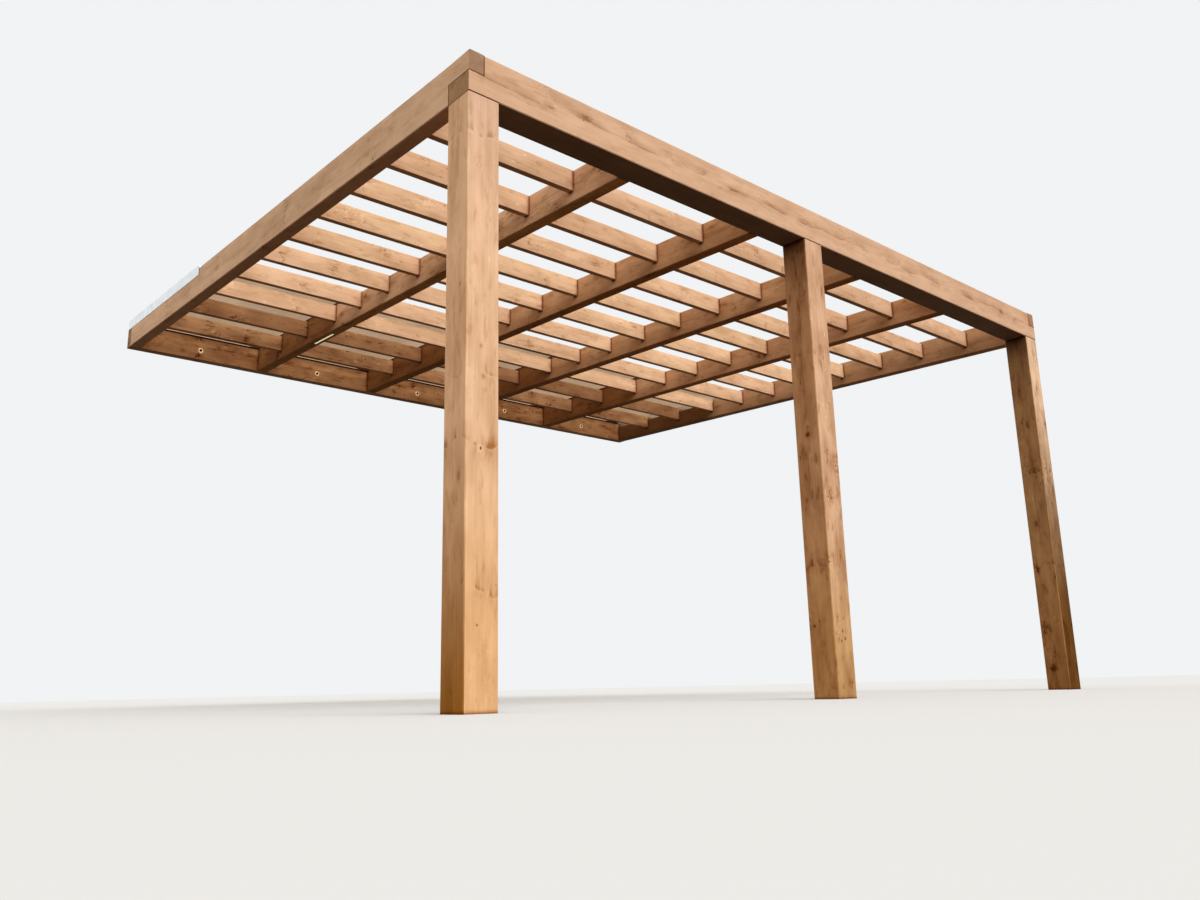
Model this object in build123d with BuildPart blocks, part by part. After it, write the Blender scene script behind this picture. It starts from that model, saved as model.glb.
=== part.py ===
from build123d import *
import os

os.makedirs("parts", exist_ok=True)

# Wooden pergola held by its ledger, in millimetres.
# X runs along the ledger, and the posts stand at negative Y.
# The origin is the middle of the ledger's back face, where it is bolted on.

# Overall sizes
width = 5165                    # outer face to outer face of the side beams
depth = 4710                    # back of the ledger to the front of the posts
clear_height = 2590             # foot of a post to the underside of the front beam
fall = 136                      # drop of the rafters from the ledger to the front beam
middle_post_from_left = 2400    # left outer face to the middle post's centre line

# Timber sections
post_size = 160
beam_height = 200               # front beam, side beams and ledger are cut from this height
side_beam_width = 80
rafter_width = 80
rafter_height = 180
ledger_thickness = 80
slat_thickness = 40
slat_height = 120
timber_ease = 4                 # small bevel along the edges of the large timbers
slat_ease = 2

# Rafters and slats
rafter_count = 4
last_bay_extra = 45             # the bay at the right is this much wider than the others
open_rows = 7                   # rows of slats under the open sky
covered_rows = 2                # rows of slats under the cover, without its front row
covered_depth = 1400            # ledger to the front face of the row that ends the cover

# Cover of clear sheets over the back of the pergola
sheet_thickness = 8
sheet_expansion_gap = 5         # beside a sheet, for warm days
sheet_back_gap = 10
sheet_lip_gap = 1               # between a sheet and the lip over it
cover_overhang = 27             # front of the cover past its last row of slats
notch_depth = 50                # cut into the side beams for the edge rails
rail_width = 60
rail_wall = 3
rail_lip = 25
rail_upstand = 10               # of the rail's web, over its lip
bar_width = 60
bar_wall = 2
trim_depth = 15
trim_wall = 2

# Bolts that hold the ledger
ledger_bolt_hole = 14
ledger_bolt_left = 532          # from the ledger's left end to the first bolt
ledger_bolt_right = 621         # from the last bolt to the ledger's right end
ledger_bolt_height = 75           # above the ledger's underside

# Places worked out from the sizes
left = -width / 2
right = width / 2
front = -depth
beam_back = front + post_size
ledger_front = -ledger_thickness
ledger_low = -beam_height / 2
beam_low = ledger_low - fall
foot = beam_low - clear_height
slope = fall / (ledger_front - beam_back)

bay_count = rafter_count + 1
all_timber = 2 * side_beam_width + rafter_count * rafter_width
bay_clear = (width - all_timber - last_bay_extra) / bay_count
bay_pitch = bay_clear + rafter_width
bay_lefts = [left + side_beam_width + number * bay_pitch for number in range(bay_count)]
bay_rights = [bay_left + bay_clear for bay_left in bay_lefts]
bay_rights[-1] += last_bay_extra
rafter_lefts = bay_rights[:-1]

first_bolt = left + ledger_bolt_left
last_bolt = right - ledger_bolt_right
bolt_pitch = (last_bolt - first_bolt) / rafter_count
bolt_z = ledger_low + ledger_bolt_height

last_row = ledger_front - covered_depth
open_gap = (last_row - beam_back - open_rows * slat_thickness) / (open_rows + 1)
covered_run = ledger_front - last_row - slat_thickness
covered_gap = (covered_run - covered_rows * slat_thickness) / (covered_rows + 1)

cover_front = last_row - cover_overhang
trim_back = cover_front + trim_depth
sheet_front = cover_front + trim_wall + sheet_expansion_gap
sheet_top = beam_height + sheet_thickness
lip_low = sheet_top + sheet_lip_gap
notch_low = beam_height - notch_depth
bar_base = beam_height - rafter_height


def roof_z(y, above):
    """Height of a point that lies `above` the rafters' sloping underside."""
    return ledger_low + slope * (y - ledger_front) + above


def roof_face(y_front, y_back, low, high):
    """Side view of a piece between two heights above the rafters' underside."""
    Polygon(
        (y_front, roof_z(y_front, low)),
        (y_back, roof_z(y_back, low)),
        (y_back, roof_z(y_back, high)),
        (y_front, roof_z(y_front, high)),
        align=None,
    )


def save(piece, name):
    piece.part.label = name
    export_step(piece.part, f"parts/{name}.step")


# Posts: square timbers, plumb, with eased corners
def make_post(x_centre):
    with BuildPart() as post:
        with BuildSketch(Plane.XY.offset(foot)):
            with Locations((x_centre, front + post_size / 2)):
                Rectangle(post_size, post_size)
        extrude(amount=clear_height)
        chamfer(post.edges().filter_by(Axis.Z), length=timber_ease)
    return post


post_left = make_post(left + post_size / 2)
post_middle = make_post(left + middle_post_from_left)
post_right = make_post(right - post_size / 2)
save(post_left, "post_left")
save(post_middle, "post_middle")
save(post_right, "post_right")

# Front beam: level on the posts, its upper half cut away at both ends for the side beams
with BuildPart() as front_beam:
    with BuildSketch(Plane.YZ.offset(left)):
        with Locations((front + post_size / 2, beam_low + beam_height / 2)):
            Rectangle(post_size, beam_height)
    extrude(amount=width)
    chamfer(front_beam.edges().filter_by(Axis.X), length=timber_ease)
    with BuildSketch(Plane.XY.offset(beam_low + beam_height / 2)):
        with Locations(
            (left + side_beam_width / 2, front + post_size / 2),
            (right - side_beam_width / 2, front + post_size / 2),
        ):
            Rectangle(side_beam_width, post_size)
    extrude(amount=beam_height / 2, mode=Mode.SUBTRACT)
save(front_beam, "front_beam")

# Side beams: half-lapped over the front beam, and cut down under the cover
with BuildPart() as side_beam_left:
    with BuildSketch(Plane.YZ.offset(left)):
        with BuildLine():
            Polyline(
                (front, beam_low + beam_height / 2),
                (beam_back, beam_low + beam_height / 2),
                (beam_back, beam_low),
                (ledger_front, roof_z(ledger_front, 0)),
                (ledger_front, roof_z(ledger_front, notch_low)),
                (cover_front, roof_z(cover_front, notch_low)),
                (cover_front, roof_z(cover_front, beam_height)),
                (beam_back, beam_low + beam_height),
                (front, beam_low + beam_height),
                close=True,
            )
        make_face()
    extrude(amount=side_beam_width)
    long_edges = side_beam_left.edges().filter_by(lambda edge: edge.length > 2 * post_size)
    chamfer(long_edges, length=timber_ease)
save(side_beam_left, "side_beam_left")

with BuildPart() as side_beam_right:
    add(mirror(side_beam_left.part, about=Plane.YZ))
save(side_beam_right, "side_beam_right")

# Rafters: between the side beams, from the front beam to the ledger
for number, rafter_left in enumerate(rafter_lefts, start=1):
    with BuildPart() as rafter:
        with BuildSketch(Plane.YZ.offset(rafter_left)):
            roof_face(beam_back, ledger_front, 0, rafter_height)
        extrude(amount=rafter_width)
        long_edges = rafter.edges().filter_by(lambda edge: edge.length > 2 * rafter_height)
        chamfer(long_edges, length=timber_ease)
    save(rafter, f"rafter_{number}")

# Ledger: the plank that is bolted on, its top planed to the fall, a bolt hole for each bay
with BuildPart() as ledger:
    with BuildSketch(Plane.YZ.offset(left)):
        with BuildLine():
            Polyline(
                (ledger_front, ledger_low),
                (0, ledger_low),
                (0, roof_z(0, beam_height)),
                (ledger_front, roof_z(ledger_front, beam_height)),
                close=True,
            )
        make_face()
    extrude(amount=width)
    for end_left in (left, right - side_beam_width):
        with BuildSketch(Plane.YZ.offset(end_left)):
            roof_face(ledger_front, 0, notch_low, sheet_top)
        extrude(amount=side_beam_width, mode=Mode.SUBTRACT)
    with BuildSketch(Plane.XZ.offset(ledger_thickness)):
        with Locations(((first_bolt + last_bolt) / 2, bolt_z)):
            with GridLocations(bolt_pitch, beam_height, bay_count, 1):
                Circle(ledger_bolt_hole / 2)
    extrude(amount=-ledger_thickness, mode=Mode.SUBTRACT)
save(ledger, "ledger")


# Slats: on edge between the rafters, tops flush, one slat in each bay
def make_slat_row(y_front):
    with BuildPart() as row:
        for bay_left, bay_right in zip(bay_lefts, bay_rights):
            with BuildSketch(Plane.YZ.offset(bay_left)):
                roof_face(
                    y_front,
                    y_front + slat_thickness,
                    rafter_height - slat_height,
                    rafter_height,
                )
            extrude(amount=bay_right - bay_left)
        chamfer(row.edges().filter_by(Axis.X), length=slat_ease)
    return row


open_pitch = open_gap + slat_thickness
covered_pitch = covered_gap + slat_thickness
row_fronts = [beam_back + open_gap + number * open_pitch for number in range(open_rows)]
row_fronts += [last_row + number * covered_pitch for number in range(covered_rows + 1)]
for number, row_front in enumerate(row_fronts, start=1):
    save(make_slat_row(row_front), f"slat_row_{number:02}")

# Edge rail: a box in the notch of the side beam, with a web and a lip around the outer sheet
rail_inner = left + rail_width
with BuildPart() as edge_rail_left:
    with BuildSketch(Plane.YZ.offset(left)):
        roof_face(trim_back, 0, notch_low, beam_height)
    extrude(amount=rail_width)
    with BuildSketch(Plane.YZ.offset(left + rail_wall)):
        roof_face(trim_back, 0, notch_low + rail_wall, beam_height - rail_wall)
    extrude(amount=rail_width - 2 * rail_wall, mode=Mode.SUBTRACT)
    with BuildSketch(Plane.YZ.offset(left)):
        roof_face(trim_back, 0, beam_height, lip_low + rail_wall + rail_upstand)
    extrude(amount=rail_wall)
    with BuildSketch(Plane.YZ.offset(left)):
        roof_face(trim_back, 0, lip_low, lip_low + rail_wall)
    extrude(amount=rail_lip)
save(edge_rail_left, "edge_rail_left")

with BuildPart() as edge_rail_right:
    add(mirror(edge_rail_left.part, about=Plane.YZ))
save(edge_rail_right, "edge_rail_right")

# Joint bars: a box on each rafter carries two sheets, a web parts them and a cap lies over both
for number, rafter_left in enumerate(rafter_lefts, start=1):
    bar_middle = rafter_left + rafter_width / 2
    bar_left = bar_middle - bar_width / 2
    with BuildPart() as joint_bar:
        with BuildSketch(Plane.YZ.offset(bar_left)):
            roof_face(trim_back, ledger_front, rafter_height, beam_height)
        extrude(amount=bar_width)
        with BuildSketch(Plane.YZ.offset(bar_left + bar_wall)):
            roof_face(
                trim_back,
                ledger_front,
                rafter_height + bar_wall,
                beam_height - bar_wall,
            )
        extrude(amount=bar_width - 2 * bar_wall, mode=Mode.SUBTRACT)
        with BuildSketch(Plane.YZ.offset(bar_middle - bar_wall)):
            roof_face(trim_back, -sheet_back_gap, beam_height, lip_low + bar_wall)
        extrude(amount=2 * bar_wall)
        with BuildSketch(Plane.YZ.offset(bar_left)):
            roof_face(trim_back, -sheet_back_gap, lip_low, lip_low + bar_wall)
        extrude(amount=bar_width)
    save(joint_bar, f"joint_bar_{number}")

# Front trim: a channel clipped over the front edges of the sheets
with BuildPart() as front_trim:
    with BuildSketch(Plane.YZ.offset(left)):
        roof_face(cover_front, trim_back, beam_height - trim_wall, lip_low + trim_wall)
    extrude(amount=width)
    with BuildSketch(Plane.YZ.offset(left)):
        roof_face(cover_front + trim_wall, trim_back, beam_height, lip_low)
    extrude(amount=width, mode=Mode.SUBTRACT)
save(front_trim, "front_trim")

# Sheets: one over each bay, from the trim to the back, resting on rails, bars and ledger
half_joint = rafter_width / 2 - bar_wall
sheet_lefts = [left + rail_wall] + [bay_left - half_joint for bay_left in bay_lefts[1:]]
sheet_rights = [bay_right + half_joint for bay_right in rafter_lefts] + [right - rail_wall]
for number, (joint_left, joint_right) in enumerate(zip(sheet_lefts, sheet_rights), start=1):
    sheet_left = joint_left + sheet_expansion_gap
    sheet_right = joint_right - sheet_expansion_gap
    with BuildPart() as cover_sheet:
        with BuildSketch(Plane.YZ.offset(sheet_left)):
            roof_face(sheet_front, -sheet_back_gap, beam_height, sheet_top)
        extrude(amount=sheet_right - sheet_left)
    save(cover_sheet, f"cover_sheet_{number}")
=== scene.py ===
import math
from functools import partial

import bpy
import numpy as np
from mathutils import Matrix, Vector


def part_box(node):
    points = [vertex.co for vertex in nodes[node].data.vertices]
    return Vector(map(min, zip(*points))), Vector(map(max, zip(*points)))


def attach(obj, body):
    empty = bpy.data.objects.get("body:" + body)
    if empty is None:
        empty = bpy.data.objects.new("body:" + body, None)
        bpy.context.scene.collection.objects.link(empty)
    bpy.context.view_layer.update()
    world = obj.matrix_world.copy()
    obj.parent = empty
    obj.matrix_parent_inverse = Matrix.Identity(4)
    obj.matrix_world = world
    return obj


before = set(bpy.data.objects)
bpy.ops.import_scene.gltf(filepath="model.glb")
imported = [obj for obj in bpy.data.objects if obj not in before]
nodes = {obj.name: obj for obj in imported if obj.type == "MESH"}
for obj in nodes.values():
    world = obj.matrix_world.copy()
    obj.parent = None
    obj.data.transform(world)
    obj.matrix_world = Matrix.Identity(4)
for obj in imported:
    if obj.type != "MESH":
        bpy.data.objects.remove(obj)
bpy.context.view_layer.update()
print("frame loaded,", len(nodes), "nodes")


def linear(hexColour):
    # sRGB hex to linear: c / 12.92 near black, otherwise ((c + 0.055) / 1.055) to the power 2.4
    srgb = np.array([int(hexColour[i:i + 2], 16) for i in (1, 3, 5)]) / 255
    return (*np.where(srgb <= 0.04045, srgb / 12.92, ((srgb + 0.055) / 1.055) ** 2.4), 1.0)


def addNode(tree, kind, *rest):
    # one node: after its kind come its settings, if any, and its sockets, in order or by name, each with a
    # value, a hex colour or what feeds it; settings in place of the kind make it a Math node
    if isinstance(kind, dict):
        kind, rest = "Math", (kind, *rest)
    *settings, sockets = rest or ((),)
    node = tree.nodes.new(kind if kind.startswith("Node") else "ShaderNode" + kind)
    for key, value in settings[0].items() if settings else ():
        setattr(node, key, value)
    for key, value in sockets.items() if isinstance(sockets, dict) else enumerate(sockets):
        if isinstance(value, bpy.types.Node):
            value = value.outputs[0]
        if isinstance(value, bpy.types.NodeSocket):
            tree.links.new(value, node.inputs[key])
        else:
            node.inputs[key].default_value = linear(value) if isinstance(value, str) else value
    return node


# settings that many nodes share
plus, minus, times, over = ({"operation": name} for name in ("ADD", "SUBTRACT", "MULTIPLY", "DIVIDE"))
timesPlus, power, exponent = ({"operation": name} for name in ("MULTIPLY_ADD", "POWER", "EXPONENT"))
larger, smaller = ({"operation": name} for name in ("MAXIMUM", "MINIMUM"))
above, below = ({"operation": name} for name in ("GREATER_THAN", "LESS_THAN"))
length, dot, absolute = ({"operation": name} for name in ("LENGTH", "DOT_PRODUCT", "ABSOLUTE"))
whole, fraction, angle = ({"operation": name} for name in ("FLOOR", "FRACT", "ARCTAN2"))
scaled = {"operation": "SCALE"}
smooth = {"interpolation_type": "SMOOTHSTEP"}
oneWay = {"noise_dimensions": "1D"}
cellsOneWay = {"voronoi_dimensions": "1D"}
colours = {"data_type": "RGBA"}
filtered = {"data_type": "RGBA", "blend_type": "MULTIPLY"}
overshooting = {"data_type": "RGBA", "clamp_factor": False}
white = "#ffffff"


def newMaterial(name):
    # an empty material and what adds nodes to it
    material = bpy.data.materials.new(name)
    material.use_nodes = True
    material.node_tree.nodes.clear()
    return material, partial(addNode, material.node_tree)


def dress(piece, material):
    piece.data.materials.clear()
    piece.data.materials.append(material)


def bell(add, distance, width):
    # e to the power of minus (distance / width) squared
    squared = add(power, [add(over, [distance, width]), 2.0])
    return add(exponent, [add(times, [squared, -1.0])])


def fading(add, distance, reach):
    # e to the power of minus the distance, either way, over the reach
    return add(exponent, [add(over, [add(absolute, [distance]), -reach])])


# spruce, planed, brushed with honey coloured wood stain: lengths in metres, ranges as from, to, value, value

# the heart of the trunk wanders this far across the board, over this length
heartLine = {"sway": 0.05, "swayLength": 1.4, "swayDetail": 2.0, "seedStep": 3.7}


def acrossFromHeart(add, given, along):
    # place - heart - sway * (noise along the board - 1/2), without its part along the board
    swayAt = add(over, [along, heartLine["swayLength"]])
    swayAt = add(timesPlus, [given["Seed"], heartLine["seedStep"], swayAt])
    noise = add("TexNoise", oneWay, {"W": swayAt, "Scale": 1.0, "Detail": heartLine["swayDetail"]})
    sway = heartLine["sway"]
    noise = noise.outputs["Color"]
    swayed = add("VectorMath", timesPlus, [noise, (0, sway, sway), (0, -sway / 2, -sway / 2)])
    offHeart = add("VectorMath", minus, [add("VectorMath", minus, [given["Place"], given["Heart"]]), swayed])
    return add("VectorMath", times, [offHeart, (0, 1, 1)])


# branches leave the trunk in whorls, one for each year, a few round the trunk, of which luck lets some grow
knots = {
    "whorlSpacing": 0.40, "whorlSpread": 0.9, "whorlSeedStep": 5.3,
    "around": 4, "rise": 0.09, "luck": 0.42, "radius": 0.0062, "least": 0.0008, "edge": 0.003,
    "drawnOut": 0.8, "warpScale": 45.0, "warpDetail": 1.0, "warp": 0.008, "rim": 2.0, "haloRadius": 0.040,
}


def knotsInWhorls(add, given, across, radius, warp):
    # spoke = (turn about the heart + luck of the whorl) * spokes around, and its whole part draws the knot's
    # luck; distance = length of (height off the knot, arc off the spoke) + warp; size = luck above its limit
    parts = add("SeparateXYZ", [across]).outputs
    whorlLuck = add("TexWhiteNoise", oneWay, {"W": given["Whorl"]})
    turn = add(over, [add(angle, [parts[2], parts[1]]), 2 * math.pi])
    spoke = add(times, [add(plus, [turn, whorlLuck]), knots["around"]])
    spokeIndex = add(whole, [spoke])
    offSpoke = add(minus, [add(minus, [spoke, spokeIndex]), 0.5])
    arc = add(times, [add(times, [offSpoke, 2 * math.pi / knots["around"]]), radius])
    luck = add("TexWhiteNoise", [add("CombineXYZ", [spokeIndex, given["Whorl"], given["Seed"]])])
    luck = add("SeparateColor", [luck.outputs["Color"]]).outputs
    rise = add(timesPlus, [luck[0], knots["rise"], -knots["rise"] / 2])
    up = add(times, [add(minus, [given["OffWhorl"], rise]), knots["drawnOut"]])
    away = add("VectorMath", length, [add("CombineXYZ", [up, arc])]).outputs["Value"]
    away = add(plus, [away, add(timesPlus, [warp, knots["warp"], -knots["warp"] / 2])])
    knotSize = add(larger, [add(minus, [luck[1], knots["luck"]]), 0.0])
    knotSize = add(times, [knotSize, knots["radius"] / (1 - knots["luck"])])
    knotSize = add(times, [knotSize, given["Knots"]])
    grown = add(above, [knotSize, knots["least"]])
    knot = {"arc": arc, "whorlLuck": whorlLuck}
    for part, outline in (("inside", knotSize), ("rim", add(times, [knotSize, knots["rim"]]))):
        past = add(minus, [away, outline])
        knot[part] = add("MapRange", smooth, [past, -knots["edge"], knots["edge"], grown, 0.0])
    share = add(over, [knotSize, knots["radius"]])
    knot["halo"] = add(times, [bell(add, away, knots["haloRadius"]), share])
    return knot


# real rings are 3 to 5 mm wide, drawn coarser so that they show at all
rings = {
    "width": 0.0085, "bulge": 0.012,
    "ripple": 0.010, "ripplePerMetre": (1.6, 13.0, 13.0), "rippleDetail": 2.0,
    "darkens": (0.25, 0.85), "ends": (0.88, 1.0, 1.0, 0.0),
    "yearStep": 9.1, "yearScale": 0.31, "yearDetail": 1.0, "yearStrength": (0.35, 0.65, 0.1, 1.0),
}


def yearRings(add, given, moved, radius, halo):
    # the fraction of (radius + bulge * halo + ripple * noise) / ring width darkens slowly and ends sharply,
    # times a strength that each year has from noise
    rippled = add("VectorMath", times, [moved, rings["ripplePerMetre"]])
    rippled = add("TexNoise", {"Vector": rippled, "Scale": 1.0, "Detail": rings["rippleDetail"]})
    bulged = add(timesPlus, [halo, rings["bulge"], radius])
    count = add(over, [add(timesPlus, [rippled, rings["ripple"], bulged]), rings["width"]])
    part = add(fraction, [count])
    darkens, ends = (add("MapRange", smooth, [part, *rings[key]]) for key in ("darkens", "ends"))
    yearAt = add(timesPlus, [given["Seed"], rings["yearStep"], count])
    year = add("TexNoise", oneWay, {"W": yearAt, "Scale": rings["yearScale"], "Detail": rings["yearDetail"]})
    strength = add("MapRange", [year, *rings["yearStrength"]])
    return add(times, [add(times, [darkens, ends]), strength])


# stain lies in noise drawn out along the grain: how often in a metre along, aside and across, and its detail
stainNoises = {
    "tide": ((0.9, 3.5, 3.5), 2.0), "cloud": ((4.2, 11.0, 11.0), 3.0), "smudge": ((11.0, 30.0, 30.0), 2.0),
    "streak": ((0.9, 24.0, 24.0), 3.0), "hatch": ((5.0, 75.0, 75.0), 2.0),
    "fibre": ((5.0, 210.0, 210.0), 2.0), "tear": ((19.0, 42.0, 42.0), 2.0),
    "tearPatch": ((3.6, 9.0, 9.0), 2.0),
}
# across each whorl the stain stops at a line slung from branch to branch, with a pale tear below it
bands = {
    "wander": 0.085, "sag": 0.35, "halfWidth": 0.026, "edge": 0.006, "tearBelow": 0.006, "tearWidth": 0.004,
    "lucky": (0.2, 0.8), "smudged": (0.44, 0.62), "hatched": (0.35, 0.65, 0.35, 1.0),
}


def whorlBands(add, given, noises, knot):
    # off = distance from the whorl + wander * (cloud - 1/2) - sag * arc off the spoke; dark above zero and
    # fading with off, pale in a bell just below zero; both only where luck and smudge are high
    off = add(timesPlus, [add(minus, [noises["cloud"], 0.5]), bands["wander"], given["OffWhorl"]])
    off = add(timesPlus, [add(absolute, [knot["arc"]]), -bands["sag"], off])
    upper = add("MapRange", smooth, [off, -bands["edge"], bands["edge"]])
    band = add(times, [fading(add, off, bands["halfWidth"]), upper])
    paleLine = bell(add, add(plus, [off, bands["tearBelow"]]), bands["tearWidth"])
    lucky = add("MapRange", smooth, [knot["whorlLuck"], *bands["lucky"]])
    here = add(times, [lucky, add("MapRange", smooth, [noises["smudge"], *bands["smudged"]])])
    band = add(times, [band, here])
    band = add(times, [band, add("MapRange", [noises["hatch"], *bands["hatched"]])])
    return band, add(times, [paleLine, here])


flecks = {"perMetre": (14.0, 55.0, 55.0), "reach": (0.10, 0.28, 1.0, 0.0), "dark": 0.958, "pale": 0.955}


def strewnFlecks(add, moved):
    # near the middle of a cell: dark if the cell's luck is over its limit, pale if one minus it is
    spread = add("VectorMath", times, [moved, flecks["perMetre"]])
    cells = add("TexVoronoi", {"Vector": spread, "Scale": 1.0})
    luck = add("SeparateColor", [cells.outputs["Color"]])
    near = add("MapRange", [cells, *flecks["reach"]])
    dark = add(above, [luck, flecks["dark"]])
    pale = add(above, [add(minus, [1.0, luck]), flecks["pale"]])
    return [add(times, [near, chosen]) for chosen in (dark, pale)]


# planing tears the grain in patches, more of them where branches were
tears = {
    "nearKnots": 0.22, "patch": (0.56, 0.70), "paleLevel": 0.47, "darkLevel": 0.55,
    "line": (0.0, 0.045, 1.0, 0.0), "paleShare": -0.8,
}


def tornGrain(add, noises, band, halo):
    # thin lines where a noise crosses two levels: dark at one, less pale at the other, times the patch
    patch = add(times, [add(plus, [band, halo]), tears["nearKnots"]])
    patch = add("MapRange", smooth, [add(plus, [noises["tearPatch"], patch]), *tears["patch"]])
    lines = []
    for level in (tears["paleLevel"], tears["darkLevel"]):
        off = add(absolute, [add(minus, [noises["tear"], level])])
        lines.append(add("MapRange", smooth, [off, *tears["line"]]))
    return add(times, [add(timesPlus, [lines[0], tears["paleShare"], lines[1]]), patch])


# a dark line wanders along the middle of a board cut through the heart, with small knots strung on it
vein = {
    "perMetre": 1.9, "detail": 5.0, "roughness": 0.55, "swing": 0.085,
    "width": 0.0032, "widthSeen": (0.36, 0.60, 0.15, 1.0),
    "shade": 0.036, "shadeEdge": 0.004, "shadeSeen": (0.40, 0.60, 0.15, 1.0),
    "knotSpacing": 0.30, "knotDrawnOut": 0.6, "knotAside": (0.03, -0.012), "knotWarp": 0.016,
    "knotRadius": 0.013, "knotPower": 1.5, "knotOutline": (0.0, 0.0035, 1.0, 0.0),
    "haloRadius": 0.032, "haloSeen": (0.40, 0.62),
    "weights": {"shade": 0.50, "line": 0.50, "outline": 0.55, "halo": 0.5},
}


def strungVein(add, given, place, noises, warp):
    # off = distance aside from a line swung by noise; the line is a bell in off, the shade on one side of it
    # fades with off; knots sit at the points of cells strung along it, as outlines and halos round them
    run = add(timesPlus, [place[0], vein["perMetre"], given["Seed"]])
    run = {"W": run, "Scale": 1.0, "Detail": vein["detail"], "Roughness": vein["roughness"]}
    run = add("TexNoise", oneWay, run)
    off = add(timesPlus, [add(minus, [run, 0.5]), -vein["swing"], place[2]])
    seen = add("MapRange", smooth, [noises["cloud"], *vein["widthSeen"]])
    line = add(times, [bell(add, off, vein["width"]), seen])
    oneSide = add("MapRange", smooth, [off, -vein["shadeEdge"], vein["shadeEdge"]])
    shade = add(times, [fading(add, off, vein["shade"]), oneSide])
    shade = add(times, [shade, add("MapRange", smooth, [noises["cloud"], *vein["shadeSeen"]])])

    string = add(over, [place[0], vein["knotSpacing"]])
    bead = add("TexVoronoi", cellsOneWay, {"W": string, "Scale": 1.0}).outputs["W"]
    luck = add("TexWhiteNoise", oneWay, {"W": bead})
    ahead = add(times, [add(minus, [string, bead]), vein["knotSpacing"] * vein["knotDrawnOut"]])
    aside = add(minus, [off, add(timesPlus, [luck, *vein["knotAside"]])])
    away = add("VectorMath", length, [add("CombineXYZ", [ahead, aside])]).outputs["Value"]
    away = add(plus, [away, add(timesPlus, [warp, vein["knotWarp"], -vein["knotWarp"] / 2])])
    beadSize = add(times, [add(power, [luck, vein["knotPower"]]), vein["knotRadius"]])
    outline = add(absolute, [add(minus, [away, beadSize])])
    outline = add("MapRange", smooth, [outline, *vein["knotOutline"]])
    seen = add("MapRange", smooth, [noises["smudge"], *vein["haloSeen"]])
    halo = add(times, [bell(add, away, vein["haloRadius"]), seen])

    total = add(times, [halo, vein["weights"]["halo"]])
    for key, part in (("outline", outline), ("line", line), ("shade", shade)):
        total = add(timesPlus, [part, vein["weights"][key], total])
    return total


# how much each mark deepens the stain: shade 0 is the pale tone, 1 the deep one
shading = {
    "cloud": (0.33, 0.70, -0.05, 0.50), "tide": (0.30, 0.70, -0.12, 0.22),
    "smudge": (0.56, 0.74), "smudgeWeight": 0.35,
    "fine": (0.35, 0.65, -0.5, 0.5), "fineWeights": {"streak": 0.12, "hatch": 0.11, "fibre": 0.06},
    "band": 0.80, "paleLine": -0.14, "haloSeen": (0.38, 0.60, 0.2, 1.0), "halo": 0.55, "rim": -0.25,
    "darkFleck": 1.9, "paleFleck": -1.5, "worn": -0.20, "least": -0.40, "most": 1.1,
    "knotTint": "#bba58f", "ringHeight": 0.5, "knotHeight": -0.6, "fibreHeight": 0.5,
}
grainInputs = {
    "Place": "Vector", "Heart": "Vector", "Seed": "Float", "Worn": "Float", "Pale": "Color", "Deep": "Color",
    "Rings": "Float", "Knots": "Float", "Cloud": "Float", "Marks": "Float", "Vein": "Float",
    "Whorl": "Float", "OffWhorl": "Float",
}
seedShift = (3.1, 1.7, 2.3)


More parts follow.
